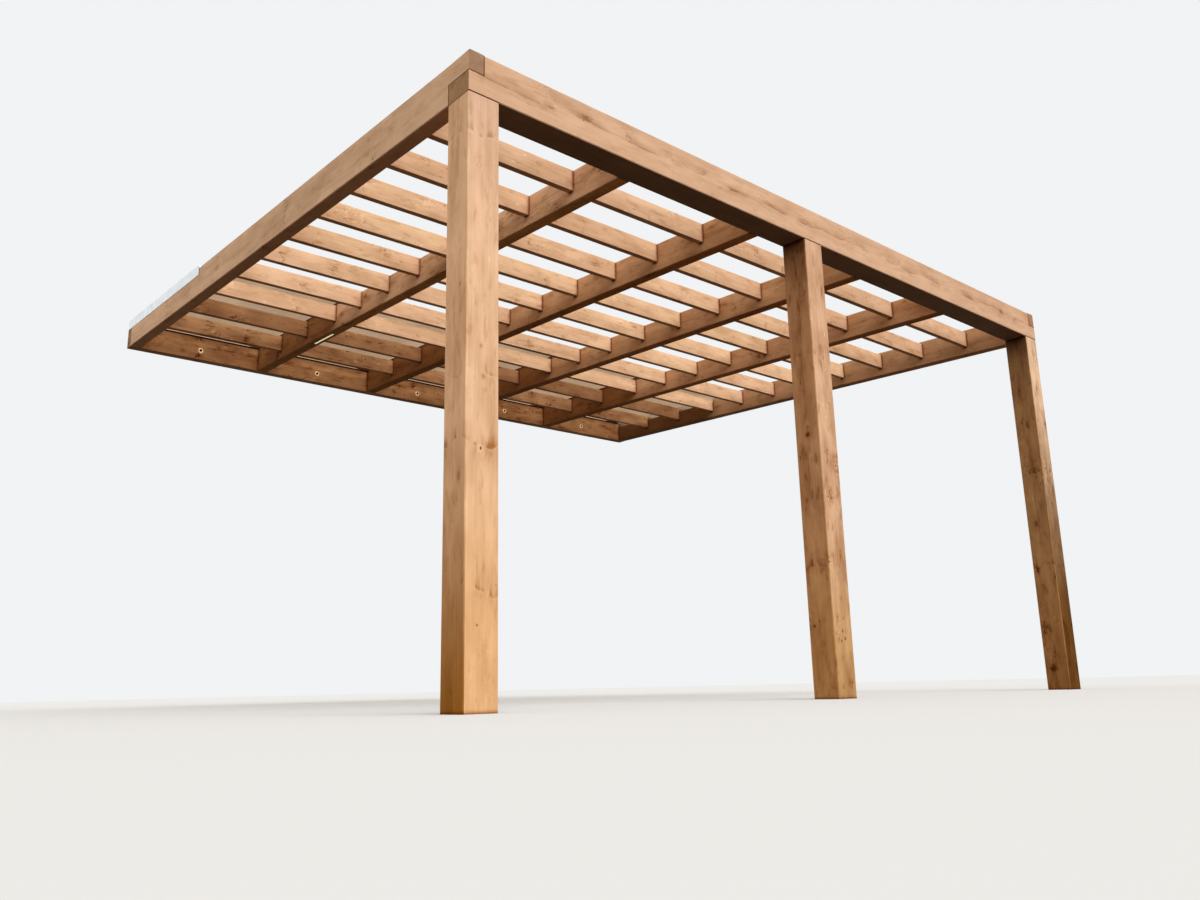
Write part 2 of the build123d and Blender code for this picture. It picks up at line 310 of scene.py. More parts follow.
def makeSpruceGrain():
    # shade = (cloud + tide + smudge) * Cloud + rings * Rings + each other mark * its weight, kept in limits;
    # colour = pale + (deep - pale) * shade, or the knot's own wood; height = rings - knots + fibres
    tree = bpy.data.node_groups.new("spruceGrain", "ShaderNodeTree")
    for name, kind in grainInputs.items():
        tree.interface.new_socket(name, in_out="INPUT", socket_type="NodeSocket" + kind)
    for name, kind in {"Color": "Color", "Height": "Float"}.items():
        tree.interface.new_socket(name, in_out="OUTPUT", socket_type="NodeSocket" + kind)
    add = partial(addNode, tree)
    given = add("NodeGroupInput").outputs
    place = add("SeparateXYZ", [given["Place"]]).outputs
    shift = add("VectorMath", scaled, {0: seedShift, "Scale": given["Seed"]})
    moved = add("VectorMath", plus, [given["Place"], shift])
    warp = add("TexNoise", {"Vector": moved, "Scale": knots["warpScale"], "Detail": knots["warpDetail"]})
    noises = {}
    for key, (perMetre, detail) in stainNoises.items():
        drawnOut = add("VectorMath", times, [moved, perMetre])
        noises[key] = add("TexNoise", {"Vector": drawnOut, "Scale": 1.0, "Detail": detail})

    across = acrossFromHeart(add, given, place[0])
    radius = add("VectorMath", length, [across]).outputs["Value"]
    knot = knotsInWhorls(add, given, across, radius, warp)
    ring = yearRings(add, given, moved, radius, knot["halo"])
    band, paleLine = whorlBands(add, given, noises, knot)
    darkFleck, paleFleck = strewnFlecks(add, moved)
    torn = tornGrain(add, noises, band, knot["halo"])
    strung = strungVein(add, given, place, noises, warp)

    shade = add("MapRange", [noises["cloud"], *shading["cloud"]])
    shade = add(plus, [shade, add("MapRange", [noises["tide"], *shading["tide"]])])
    smudge = add("MapRange", smooth, [noises["smudge"], *shading["smudge"]])
    shade = add(timesPlus, [smudge, shading["smudgeWeight"], shade])
    shade = add(times, [shade, given["Cloud"]])
    marks = [(ring, given["Rings"])]
    for key, weight in shading["fineWeights"].items():
        marks.append((add("MapRange", [noises[key], *shading["fine"]]), weight))
    haloSeen = add("MapRange", smooth, [noises["smudge"], *shading["haloSeen"]])
    marks += [(band, add(times, [given["Knots"], shading["band"]])),
              (paleLine, add(times, [given["Knots"], shading["paleLine"]])),
              (add(times, [knot["halo"], haloSeen]), shading["halo"]),
              (strung, given["Vein"]), (torn, given["Marks"]), (knot["rim"], shading["rim"]),
              (darkFleck, add(times, [given["Marks"], shading["darkFleck"]])),
              (paleFleck, add(times, [given["Marks"], shading["paleFleck"]])),
              (given["Worn"], shading["worn"])]
    for mark, weight in marks:
        shade = add(timesPlus, [mark, weight, shade])
    shade = add(smaller, [add(larger, [shade, shading["least"]]), shading["most"]])

    stained = add("Mix", overshooting, {0: shade, 6: given["Pale"], 7: given["Deep"]}).outputs[2]
    knotWood = add("Mix", filtered, {0: 1.0, 6: given["Deep"], 7: shading["knotTint"]}).outputs[2]
    stained = add("Mix", colours, {0: knot["inside"], 6: stained, 7: knotWood}).outputs[2]
    height = add(times, [noises["fibre"], shading["fibreHeight"]])
    height = add(timesPlus, [knot["inside"], shading["knotHeight"], height])
    height = add(timesPlus, [ring, shading["ringHeight"], height])
    add("NodeGroupOutput", [stained, height])
    return tree


spruceGrain = makeSpruceGrain()


def nearestWhorl(add, far, heights):
    # goes through the heights and keeps the next one where |far - next| < |far - kept|
    whorl, offWhorl = heights[0], add(minus, [far, heights[0]])
    for height in heights[1:]:
        offNext = add(minus, [far, height])
        nearer = add(below, [add(absolute, [offNext]), add(absolute, [offWhorl])])
        whorl = add("Mix", {0: nearer, 2: whorl, 3: height})
        offWhorl = add("Mix", {0: nearer, 2: offWhorl, 3: offNext})
    return whorl, offWhorl


def strewnWhorl(add, far, seed):
    # the point of the cell that (far / spacing + seed) lies in, and the distance from it
    string = add(over, [far, knots["whorlSpacing"]])
    string = add(timesPlus, [seed, knots["whorlSeedStep"], string])
    cells = add("TexVoronoi", cellsOneWay, {"W": string, "Scale": 1.0, "Randomness": knots["whorlSpread"]})
    whorl = cells.outputs["W"]
    return whorl, add(times, [add(minus, [string, whorl]), knots["whorlSpacing"]])


# stain wears thin on the eased edges
wear = {"edge": (0.004, 0.011, 1.0, 0.0), "scale": 9.0, "detail": 3.0, "patches": (0.42, 0.60)}


def wornEdges(add, where, place, section):
    # half the section - |place| is the distance to each face, and two of them add up to little at an edge
    inward = (0, section[0] / 2, section[1] / 2)
    inward = add("VectorMath", minus, [inward, add("VectorMath", absolute, [place])])
    inward = add("SeparateXYZ", [inward]).outputs
    edge = add("MapRange", smooth, [add(plus, [inward[1], inward[2]]), *wear["edge"]])
    rubbed = {"Vector": where["Object"], "Scale": wear["scale"], "Detail": wear["detail"]}
    rubbed = add("MapRange", smooth, [add("TexNoise", rubbed), *wear["patches"]])
    return add(times, [edge, rubbed])


bigKnot = {
    "raggedScale": 70.0, "raggedDetail": 2.0, "ragged": 0.9, "core": (0.75, 1.1), "ring": (1.0, 2.4),
    "ringStrength": 0.3, "tint": "#a8835f",
}


def knotsThatStandOut(add, colour, where, along, cut):
    # distance = length of (place - spot), squeezed along the grain, + ragged noise; each knot is dark within
    # its radius and has a fainter ring round it
    ragged = {"Vector": where["Object"], "Scale": bigKnot["raggedScale"], "Detail": bigKnot["raggedDetail"]}
    ragged = add("TexNoise", ragged)
    for face, aside, height, radius, drawnOut, strength in cut["bigKnots"]:
        spot = (cut["low"].x, aside, height) if face == "left" else (aside, cut["low"].y, height)
        squeeze = Vector((1, 1, 1)) - along * (1 - 1 / drawnOut)
        away = add("VectorMath", times, [add("VectorMath", minus, [where["Object"], spot]), squeeze])
        away = add("VectorMath", length, [away]).outputs["Value"]
        roughness = radius * bigKnot["ragged"]
        away = add(plus, [away, add(timesPlus, [ragged, roughness, -roughness / 2])])
        shares = []
        for part, share in (("core", strength), ("ring", strength * bigKnot["ringStrength"])):
            inner, outer = (radius * reach for reach in bigKnot[part])
            shares.append(add("MapRange", smooth, [away, inner, outer, share, 0.0]))
        dark = add(larger, shares)
        colour = add("Mix", filtered, {0: dark, 6: colour, 7: bigKnot["tint"]}).outputs[2]
    return colour


# a face is lee, under or sawn where its normal points that way by more than this
facing = {"leeAxis": (-1, 0, 0), "lee": 0.6, "downAxis": (0, 0, -1), "down": 0.8, "sawn": 0.85}


def postFootAndPaintedShade(add, colour, where, up, cut):
    # for the open side and the lee side: tint = from the foot's tone to the side's tone by height, and to
    # the head's tone by e to the power of minus the distance from the top / reach; lee tone and head tone
    # are painted shade, the foot darkens towards the bottom
    foot = cut["foot"]
    fromGround, fromTop = (add(way, [up, cut["bottom"]]) for way in (minus, plus))
    tints = []
    for side, sideShade in (("open", white), ("lee", foot["lee"])):
        towardsFoot = add("MapRange", smooth, [fromGround, *foot[side + "Damp"], 1.0, 0.0])
        towardsFoot = add(power, [towardsFoot, foot.get(side + "Curve", 1.0)])
        tint = add("Mix", colours, {0: towardsFoot, 6: sideShade, 7: foot[side + "Foot"]}).outputs[2]
        shaded = add(exponent, [add(over, [fromTop, foot["headReach"]])])
        tints.append(add("Mix", colours, {0: shaded, 6: tint, 7: foot[side + "Head"]}).outputs[2])
    lee = add("VectorMath", dot, [where["Normal"], facing["leeAxis"]]).outputs["Value"]
    lee = add(above, [lee, facing["lee"]])
    tint = add("Mix", colours, {0: lee, 6: tints[0], 7: tints[1]}).outputs[2]
    return add("Mix", filtered, {0: 1.0, 6: colour, 7: tint}).outputs[2]


# a flush joint shows as a thin dark line; lap: level and upright lines round the end of the side beam, and
# behind the end of the front beam. Each seam is (measure, value), ((other measure, its least), ...)
seamLook = {"width": (0.0010, 0.0034, 1.0, 0.0), "tint": "#6b4c36"}
seams = {
    "postTop": ((("height", -0.2375), ()),),
    "lap": ((("height", -0.136), (("across", 2.500), ("depth", 4.548))),
            (("across", 2.5025), (("height", -0.137), ("depth", 4.700))),
            (("depth", 4.550), (("drop", 0.135), ("across", 2.575)))),
}


def jointLines(add, colour, where, lines):
    # dark where |measure - value| is small, and only where every other measure is over its least; across is
    # |x|, depth is -y, drop is -z and height is z
    spot = add("SeparateXYZ", [where["Object"]]).outputs
    used = {name for seam, limits in lines for name, _ in (seam, *limits)}
    measures = {"height": spot[2]}
    if "across" in used:
        measures["across"] = add(absolute, [spot[0]])
    for name, part in (("depth", spot[1]), ("drop", spot[2])):
        if name in used:
            measures[name] = add(times, [part, -1.0])
    for (measure, value), limits in lines:
        line = add(absolute, [add(minus, [measures[measure], value])])
        line = add("MapRange", smooth, [line, *seamLook["width"]])
        for limit, least in limits:
            line = add(times, [line, add(above, [measures[limit], least])])
        colour = add("Mix", filtered, {0: line, 6: colour, 7: seamLook["tint"]}).outputs[2]
    return colour


# painted shade, with some grime and thick stain, in the joints: darker where another board is closer than a
# few millimetres
jointShadeAndGrime = {"reach": 0.022, "samples": 6, "range": (0.50, 0.92, 1.0, 0.0), "tint": "#946448"}
shelter = (-1.62, -1.30)      # painted shade under the sheets sets in between these depths, along the front edge of the sheets
planed = {"rings": 0.07, "sawn": "#d0cab8", "roughness": 0.7, "ior": 1.5, "specular": 0.02, "bump": 0.35,
          "bumpDepth": 0.0006}
baySeedStep = 1.618


def stainedSpruce(name, cut):
    # a softwood under thin stain: even grain of low contrast, small knots in cloudy halos, hardly any gloss
    material, add = newMaterial(name)
    along, side = Vector(cut["along"]).normalized(), Vector(cut["side"])
    turned = Matrix((along, side, along.cross(side)))
    where = add("TexCoord").outputs
    place = add("Mapping", [where["Object"], -(turned @ cut["middle"]), turned.to_euler()])
    far = add("SeparateXYZ", [place])
    seed = cut["seed"]
    if "bays" in cut:      # the slats of one row are separate boards, so each bay has a seed of its own
        bay = add(minus, [add("SeparateXYZ", [where["Object"]]), cut["bays"]["left"]])
        bay = add(whole, [add(over, [bay, cut["bays"]["pitch"]])])
        seed = add(timesPlus, [bay, baySeedStep, cut["seed"]])
    if "whorls" in cut:
        whorl, offWhorl = nearestWhorl(add, far, [height - cut["middle"].z for height in cut["whorls"]])
    else:
        whorl, offWhorl = strewnWhorl(add, far, seed)
    grain = {key: cut[key.lower()] for key in ("Heart", "Pale", "Deep", "Knots", "Cloud", "Marks", "Vein")}
    grain |= {"Place": place, "Seed": seed, "Whorl": whorl, "OffWhorl": offWhorl, "Rings": planed["rings"],
              "Worn": wornEdges(add, where, place, cut["section"])}
    wood = add("Group", {"node_tree": spruceGrain}, grain)

    # sawn ends drink more stain
    sawn = add(absolute, [add("VectorMath", dot, [where["Normal"], along]).outputs["Value"]])
    sawn = add(above, [sawn, facing["sawn"]])
    tint = cut.get("sawn", planed["sawn"])
    colour = add("Mix", filtered, {0: sawn, 6: wood.outputs["Color"], 7: tint}).outputs[2]
    if "bigKnots" in cut:
        colour = knotsThatStandOut(add, colour, where, along, cut)
    if "foot" in cut:      # darker towards the bottom, on the right post painted shade; painted shade on the lee side and under the beam
        colour = postFootAndPaintedShade(add, colour, where, far, cut)
    # painted shade: the faces that look down get a tint of their own for the little light they get
    if "under" in cut:
        down = add("VectorMath", dot, [where["Normal"], facing["downAxis"]]).outputs["Value"]
        down = add(above, [down, facing["down"]])
        tint = add("Mix", colours, {0: down, 6: white, 7: cut["under"]}).outputs[2]
        colour = add("Mix", filtered, {0: 1.0, 6: colour, 7: tint}).outputs[2]
    if "paintedSheetShade" in cut:      # painted shade under the sheets: the colour darkens behind their front edge
        behind = add("SeparateXYZ", [where["Object"]]).outputs[1]
        behind = add("MapRange", smooth, [behind, *shelter])
        colour = add("Mix", filtered, {0: behind, 6: colour, 7: cut["paintedSheetShade"]}).outputs[2]
    if "seams" in cut:
        colour = jointLines(add, colour, where, cut["seams"])
    # painted shade in the joints, with some grime: ambient occlusion darkens the colour near other boards
    shadeAndGrime = {"samples": jointShadeAndGrime["samples"]}
    shadeAndGrime = add("AmbientOcclusion", shadeAndGrime, {"Distance": jointShadeAndGrime["reach"]}).outputs["AO"]
    shadeAndGrime = add("MapRange", smooth, [shadeAndGrime, *jointShadeAndGrime["range"]])
    colour = add("Mix", filtered, {0: shadeAndGrime, 6: colour, 7: jointShadeAndGrime["tint"]}).outputs[2]
    bump = {"Strength": planed["bump"], "Distance": planed["bumpDepth"], "Height": wood.outputs["Height"]}
    shader = {"Base Color": colour, "Roughness": planed["roughness"], "IOR": planed["ior"],
              "Specular IOR Level": planed["specular"], "Normal": add("Bump", bump)}
    add("OutputMaterial", [add("BsdfPrincipled", shader)])
    return material


drop, run = 0.136, 4.470      # the rafters fall this much from the wall to the front beam
fallRatio = drop / run
fall = math.atan2(drop, run)
upright = {"along": (0, 0, 1), "side": (1, 0, 0), "section": (0.16, 0.16), "seams": seams["postTop"]}
lengthways = {"along": (1, 0, 0), "side": (0, 1, 0)}
sloping = {"along": (0, math.cos(fall), math.sin(fall)), "side": (-1, 0, 0)}
# whorls are heights; a big knot has its face, its place across it, its height, its radius, how far it is
# drawn out along the grain and how dark it is
timbers = {
    "post_left": {
        **upright, "seed": 1.0, "heart": (0, 0.03, 0.05), "pale": "#f8cba1", "deep": "#b57e4d",
        "knots": 0.95, "cloud": 0.65, "marks": 0.13, "vein": 0.3,
        "whorls": (-0.44, -0.84, -1.10, -1.51, -1.80, -2.01, -2.38),
        "bigKnots": (
            ("front", -2.5236, -2.499, 0.0038, 1.0, 0.85), ("front", -2.5115, -1.378, 0.007, 1.4, 0.5),
            ("front", -2.4985, -1.507, 0.009, 1.2, 0.5), ("left", -4.6635, -1.918, 0.0105, 2.4, 0.6),
            ("left", -4.6593, -1.110, 0.006, 1.5, 0.6)),
        "foot": {"openDamp": (0.2, 1.2), "openFoot": "#faf0da", "openHead": "#ebebf8", "lee": "#fffbf5",
                 "leeDamp": (-0.1, 1.3), "leeFoot": "#b18d40", "leeHead": "#ffffff", "headReach": 0.5}},
    "post_middle": {
        **upright, "seed": 2.0, "heart": (0, -0.02, 0.06), "pale": "#e8bb95", "deep": "#9c663a",
        "knots": 0.8, "cloud": 1.0, "marks": 0.36, "vein": 0.45,
        "whorls": (-0.62, -0.95, -1.53, -1.78, -2.15, -2.44, -2.78),
        "bigKnots": (
            ("left", -4.633, -1.395, 0.0145, 1.0, 1.0), ("left", -4.6765, -1.539, 0.012, 2.6, 0.6),
            ("left", -4.614, -1.511, 0.010, 2.6, 0.45), ("left", -4.632, -1.740, 0.009, 3.0, 0.45),
            ("left", -4.669, -2.140, 0.016, 1.6, 0.4), ("left", -4.587, -2.445, 0.0075, 1.0, 1.0),
            ("front", -0.187, -2.4765, 0.006, 1.0, 1.0), ("front", -0.169, -2.5165, 0.0065, 1.0, 1.0),
            ("front", -0.202, -2.529, 0.0055, 1.2, 1.0), ("front", -0.198, -1.489, 0.005, 1.0, 0.8)),
        "foot": {"openDamp": (0.1, 1.1), "openFoot": "#ebe6c8", "openHead": "#fafaff", "lee": "#e8d8c2",
                 "leeDamp": (0.1, 1.3), "leeFoot": "#dcc69a", "leeHead": "#806a55", "headReach": 0.17}},
    "post_right": {
        **upright, "seed": 3.0, "heart": (0, 0.02, 0.01), "pale": "#f0c8a2", "deep": "#8f5c31",
        "knots": 1.0, "cloud": 0.9, "marks": 0.5, "vein": 0.38,
        "whorls": (-0.65, -0.92, -1.30, -1.65, -1.99, -2.41, -2.70),
        "bigKnots": (
            ("left", -4.585, -1.989, 0.010, 1.6, 1.0), ("left", -4.612, -1.652, 0.011, 2.2, 0.8),
            ("left", -4.640, -0.921, 0.013, 2.0, 0.7), ("left", -4.617, -2.411, 0.014, 1.8, 0.6)),
        "foot": {"openDamp": (0.35, 2.1), "openCurve": 0.5, "openFoot": "#7d6336", "openHead": "#e9e9eb",
                 "lee": "#c3af91", "leeDamp": (0.1, 1.4), "leeFoot": "#bba079", "leeHead": "#665242",
                 "headReach": 0.22}},
    "front_beam": {
        **lengthways, "section": (0.16, 0.20), "seed": 4.0, "heart": (0, 0.03, 0.0), "pale": "#e0b592",
        "deep": "#a0714c", "knots": 0.3, "cloud": 0.5, "marks": 0.2, "vein": 0.7, "under": "#afb4b5",
        "seams": seams["lap"]},
    "ledger": {
        **lengthways, "section": (0.08, 0.20), "seed": 5.0, "heart": (0, 0.06, -0.05), "pale": "#e3c19e",
        "deep": "#84522f", "knots": 1.1, "cloud": 1.05, "marks": 0.6, "vein": 0.5},
    "side_beam_left": {
        # its pale tone is painted light: lighter than the posts' for the stronger light on this high outer
        # face
        **sloping, "section": (0.08, 0.20), "seed": 6.0, "heart": (0, -0.05, 0.02), "pale": "#edc49e",
        "deep": "#b38660", "knots": 0.9, "cloud": 0.6, "marks": 0.2, "vein": 0.25, "sawn": "#b7b0ae",
        "seams": seams["lap"]},
    "side_beam_right": {
        **sloping, "section": (0.08, 0.20), "seed": 7.0, "heart": (0, -0.06, -0.02), "pale": "#cb9d75",
        "deep": "#8f623b", "knots": 0.9, "cloud": 0.8, "marks": 0.25, "vein": 0.3, "sawn": "#e6d9d0",
        "paintedSheetShade": "#bfc0bd", "seams": seams["lap"]},
}
rafters = {"seedFrom": 10.0, "heartFrom": 0.05, "heartStep": 0.03,
           "tones": ("#f2c49a", "#dba97c", "#d8a67a", "#d6a378"),
           "under": ("#f8edbd", "#e3cd9c", "#e3cd9c", "#e3cd9c")}
for number, (tone, under) in enumerate(zip(rafters["tones"], rafters["under"]), 1):
    timbers[f"rafter_{number}"] = {
        **sloping, "section": (0.08, 0.18), "seed": rafters["seedFrom"] + number,
        "heart": (0, -0.055, rafters["heartFrom"] - rafters["heartStep"] * number), "pale": tone,
        "deep": "#99643a", "knots": 1.0, "cloud": 0.9, "marks": 0.33, "vein": 0.3, "under": under,
        "paintedSheetShade": "#dedfda"}
slats = {
    "seedFrom": 20.0, "seedStep": 3.7, "bays": {"left": -2.5025, "pitch": 1.008}, "openRows": 8,
    "tones": ("#e6bd97", "#e9be97", "#eec39b", "#f0c69c", "#f1c79e", "#f0c59d", "#f2c79f", "#f1c59c",
              "#d6b698", "#ebccad"),
    "open": {"deep": "#ae7c52", "knots": 0.8, "cloud": 0.8, "marks": 0.36},
    "covered": {"deep": "#784624", "knots": 1.0, "cloud": 1.0, "marks": 0.7},
}
for number, tone in enumerate(slats["tones"], 1):
    timbers[f"slat_row_{number:02d}"] = {
        **lengthways, "section": (0.04, 0.12), "seed": slats["seedFrom"] + slats["seedStep"] * number,
        "heart": (0, 0.05, -0.02), "bays": slats["bays"], "pale": tone, "vein": 0.0,
        **slats["open" if number <= slats["openRows"] else "covered"]}
for name, cut in timbers.items():
    low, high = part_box(name)
    cut["low"], cut["middle"], cut["bottom"] = low, (low + high) / 2, (low.z - high.z) / 2
    dress(nodes[name], stainedSpruce(name + "_stainedSpruce", cut))
print("timbers dressed")


# aluminium, bronze sheets, steel, seals: pattern scales are per metre

aluminiumLook = {
    "dieLines": (320.0, 1.5, 320.0), "dieDetail": 2.0, "roughness": (0.3, 0.7, 0.38, 0.52), "bump": 0.15,
    "bumpDepth": 0.0003, "bloomScale": 14.0, "bloomDetail": 3.0, "bloom": (0.3, 0.7), "pale": "#f2f5f6",
    "dull": "#e2e6e8"}


def millAluminium(name):
    # extruded aluminium left as it came from the press: pale even grey, faint die lines along its length
    material, add = newMaterial(name)
    look = aluminiumLook
    where = add("TexCoord").outputs["Object"]
    dieLines = add("Mapping", {0: where, 3: look["dieLines"]})
    dieLines = add("TexNoise", {"Vector": dieLines, "Scale": 1.0, "Detail": look["dieDetail"]})
    bloom = {"Vector": where, "Scale": look["bloomScale"], "Detail": look["bloomDetail"]}
    bloom = add("MapRange", [add("TexNoise", bloom), *look["bloom"]])
    colour = add("Mix", colours, {0: bloom, 6: look["pale"], 7: look["dull"]}).outputs[2]
    roughness = add("MapRange", [dieLines, *look["roughness"]])
    bump = add("Bump", {"Strength": look["bump"], "Distance": look["bumpDepth"], "Height": dieLines})
    shader = {"Base Color": colour, "Metallic": 1.0, "Roughness": roughness, "Normal": bump}
    add("OutputMaterial", [add("BsdfPrincipled", shader)])
    return material


satinMetals = {
    # aluminium, brushed and anodised pale bronze: a satin warm metal with fine lines along its length
    "bronzeAnodised": {"lines": (2.0, 400.0, 400.0), "scale": 1.0, "pale": "#fbd3b6", "dull": "#e9bd9f",
                       "roughness": (0.12, 0.22)},
    # steel, zinc plated and passivated yellow: a pale brassy metal with a faint cloudiness
    "yellowZincSteel": {"scale": 160.0, "pale": "#fff2d0", "dull": "#f4e0b4", "roughness": (0.30, 0.42)},
}
satinNoise = {"detail": 2.0, "range": (0.3, 0.7)}


def satinMetal(name):
    # one noise takes the colour from pale to dull and the roughness from its least to its most
    material, add = newMaterial(name)
    look = satinMetals[name]
    where = add("TexCoord").outputs["Object"]
    if "lines" in look:
        where = add("Mapping", {0: where, 3: look["lines"]})
    mottle = add("TexNoise", {"Vector": where, "Scale": look["scale"], "Detail": satinNoise["detail"]})
    share = add("MapRange", [mottle, *satinNoise["range"]])
    colour = add("Mix", colours, {0: share, 6: look["pale"], 7: look["dull"]}).outputs[2]
    roughness = add("MapRange", [mottle, *satinNoise["range"], *look["roughness"]])
    shader = {"Base Color": colour, "Metallic": 1.0, "Roughness": roughness}
    add("OutputMaterial", [add("BsdfPrincipled", shader)])
    return material


acrylicLook = {
    "dustStretch": (5.0, 1.6, 5.0), "dustDetail": 5.0, "dustRoughness": 0.65,
    "dust": (0.35, 0.75, 0.08, 0.24), "body": "#8a6a4c", "roughness": 0.12, "ior": 1.49,
    "through": "#e6d3be"}


def bronzeAcrylic(name):
    # cast acrylic sheet tinted bronze: clear, brown by what it lets through, glossy, dust dried in patches
    material, add = newMaterial(name)
    look = acrylicLook
    dust = add("Mapping", {0: add("TexCoord").outputs["Object"], 3: look["dustStretch"]})
    dust = add("TexNoise", {
        "Vector": dust, "Scale": 1.0, "Detail": look["dustDetail"], "Roughness": look["dustRoughness"]})
    body = {"Base Color": look["body"], "Roughness": look["roughness"], "IOR": look["ior"]}
    body = add("BsdfPrincipled", body)
    through = add("BsdfTransparent", [look["through"]])
    dust = add("MapRange", [dust, *look["dust"]])
    add("OutputMaterial", [add("MixShader", [dust, through, body])])
    return material


rubberLook = {
    "chalkScale": 60.0, "chalkDetail": 3.0, "chalk": (0.4, 0.75), "dark": "#1e1613", "chalky": "#35261e",
    "roughness": 0.75, "ior": 1.52, "specular": 0.15}


def blackRubber(name):
    # moulded EPDM rubber: matt, near black, a little grey with chalking
    material, add = newMaterial(name)
    look = rubberLook
    where = add("TexCoord").outputs["Object"]
    chalk = {"Vector": where, "Scale": look["chalkScale"], "Detail": look["chalkDetail"]}
    chalk = add("MapRange", [add("TexNoise", chalk), *look["chalk"]])
    colour = add("Mix", colours, {0: chalk, 6: look["dark"], 7: look["chalky"]}).outputs[2]
    shader = {"Base Color": colour, "Roughness": look["roughness"], "IOR": look["ior"],
              "Specular IOR Level": look["specular"]}
    add("OutputMaterial", [add("BsdfPrincipled", shader)])
    return material


aluminium = millAluminium("millAluminium")
anodised, zinc = satinMetal("bronzeAnodised"), satinMetal("yellowZincSteel")
bronze, rubber = bronzeAcrylic("bronzeAcrylic"), blackRubber("blackRubber")
for name, piece in nodes.items():
    if name.startswith(("edge_rail", "joint_bar", "front_trim")):
        dress(piece, aluminium)
    if name.startswith("cover_sheet"):
        dress(piece, bronze)
print("metal and sheets dressed")


sharpAngle = math.radians(35)


def newPiece(name, points, faces, material, slot):
    # points and faces as a smooth mesh, sharp where it turns hard, that rides on the frame
    mesh = bpy.data.meshes.new(name)
    mesh.from_pydata(points.tolist(), [], [list(face) for face in faces])
    mesh.validate()
    piece = bpy.data.objects.new(name, mesh)
    bpy.context.scene.collection.objects.link(piece)
    mesh.shade_smooth()
    mesh.set_sharp_from_angle(angle=sharpAngle)
    dress(piece, material)
    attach(piece, "root")
    return piece


def gridFaces(rows, columns, closed):
    # quads between neighbours in a grid of rows by columns; closed joins the last column to the first
    around = np.arange(columns if closed else columns - 1)
    row, column = np.meshgrid(np.arange(rows - 1), around, indexing="ij")
    row, column = row.ravel() * columns, column.ravel()
    after = (column + 1) % columns
    return np.column_stack((row + column, row + after, row + columns + after, row + columns + column))


def turnedParts(look, centres, out):
    # each part turns a profile of (radius, height), in mm, about its centre: point = centre + height * out
    # + radius * (cos a * u + sin a * v); a hex row has radius / cos of the angle from the nearest flat
    profile, sides = np.array(look["profile"]) / 1000, look["sides"]
    out = np.array(out, float)
    u = np.cross(out, (1.0, 0.0, 0.0) if out[2] else (0.0, 0.0, 1.0))
    u /= np.linalg.norm(u)
    v = np.cross(out, u)
    turn = np.linspace(0, 2 * np.pi, sides, endpoint=False)
    radius = np.repeat(profile[:, :1], sides, axis=1)
    radius[list(look.get("hexRows", ()))] /= np.cos((turn + np.pi / 6) % (np.pi / 3) - np.pi / 6)
    height = profile[:, 1:]
    outward = np.cos(turn)[:, None] * u + np.sin(turn)[:, None] * v
    ring = radius[..., None] * outward + height[..., None] * out
    points = np.array(centres)[:, None, None, :] + ring[None]
    firsts = np.arange(len(centres)) * len(profile) * sides
    faces = gridFaces(len(profile), sides, True)[None] + firsts[:, None, None]
    return points.reshape(-1, 3), faces.reshape(-1, 4)


# wall bolts: a turned washer round each bore, and in it a black cap over the sunk bolt, a dark part that
# stands in for the shade deep in the bore; profiles in mm
wallBolts = {"across": (-2.0505, -1.0475, -0.0445, 0.9585, 1.9615), "height": -0.025, "face": -0.08}
washer = {
    "sides": 48,
    "profile": ((23.0, 0.0), (22.8, 1.6), (21.8, 3.4), (19.8, 4.8), (17.0, 5.4), (14.0, 5.2), (12.0, 4.6),
                (10.6, 3.2), (9.6, 0.6), (6.9, 0.2), (6.9, -4.0))}
boltShadeCap = {"sides": 48, "profile": ((9.8, 1.4), (9.4, 2.2), (8.2, 2.6), (3.2, 2.9), (1.4, 2.6), (0.01, 2.4))}
for number, across in enumerate(wallBolts["across"], 1):
    centre = [(across, wallBolts["face"], wallBolts["height"])]
    newPiece(f"wall_bolt_{number}", *turnedParts(washer, centre, (0, -1, 0)), zinc, "zinc_steel")
    newPiece(f"wall_bolt_cap_{number}", *turnedParts(boltShadeCap, centre, (0, -1, 0)), rubber, "black_seal")
print("wall bolts in")

# roofing screws with a hex socket down the middle of each joint bar
bars = (-1.5345, -0.5265, 0.4815, 1.4895)
barScrews = {
    "along": (-1.42, -1.08, -0.74, -0.40, -0.08), "topAtWall": 0.1134, "sides": 20, "hexRows": (5, 6),
    "profile": ((7.0, 0.0), (7.0, 1.2), (5.2, 1.6), (5.0, 2.8), (4.2, 3.8), (2.4, 4.3), (2.2, 3.2),
                (0.01, 3.0))}
for number, bar in enumerate(bars, 1):
    centres = [(bar, y, barScrews["topAtWall"] + y * fallRatio) for y in barScrews["along"]]
    screws = turnedParts(barScrews, centres, (0.0, -math.sin(fall), math.cos(fall)))
    newPiece(f"bar_screws_{number}", *screws, zinc, "zinc_steel")

# plate head screws through the half laps into the posts
lapScrews = {
    "across": (-2.5425, 2.5425), "along": (-4.672, -4.588), "top": -0.036, "sides": 32, "hexRows": (5, 6),
    "profile": ((11.0, 0.0), (11.0, 1.4), (10.2, 2.4), (7.0, 3.2), (3.6, 3.5), (3.3, 2.6), (3.0, 0.4),
                (0.01, 0.2))}
for side, across in zip(("left", "right"), lapScrews["across"]):
    centres = [(across, y, lapScrews["top"]) for y in lapScrews["along"]]
    newPiece(f"lap_screws_{side}", *turnedParts(lapScrews, centres, (0, 0, 1)), zinc, "zinc_steel")
print("screws in")


# hand-run sealant swells along its length: share, turns in radians per metre, where it starts
swells = ((0.6, 71.0, 0.0), (0.4, 173.0, 1.3))


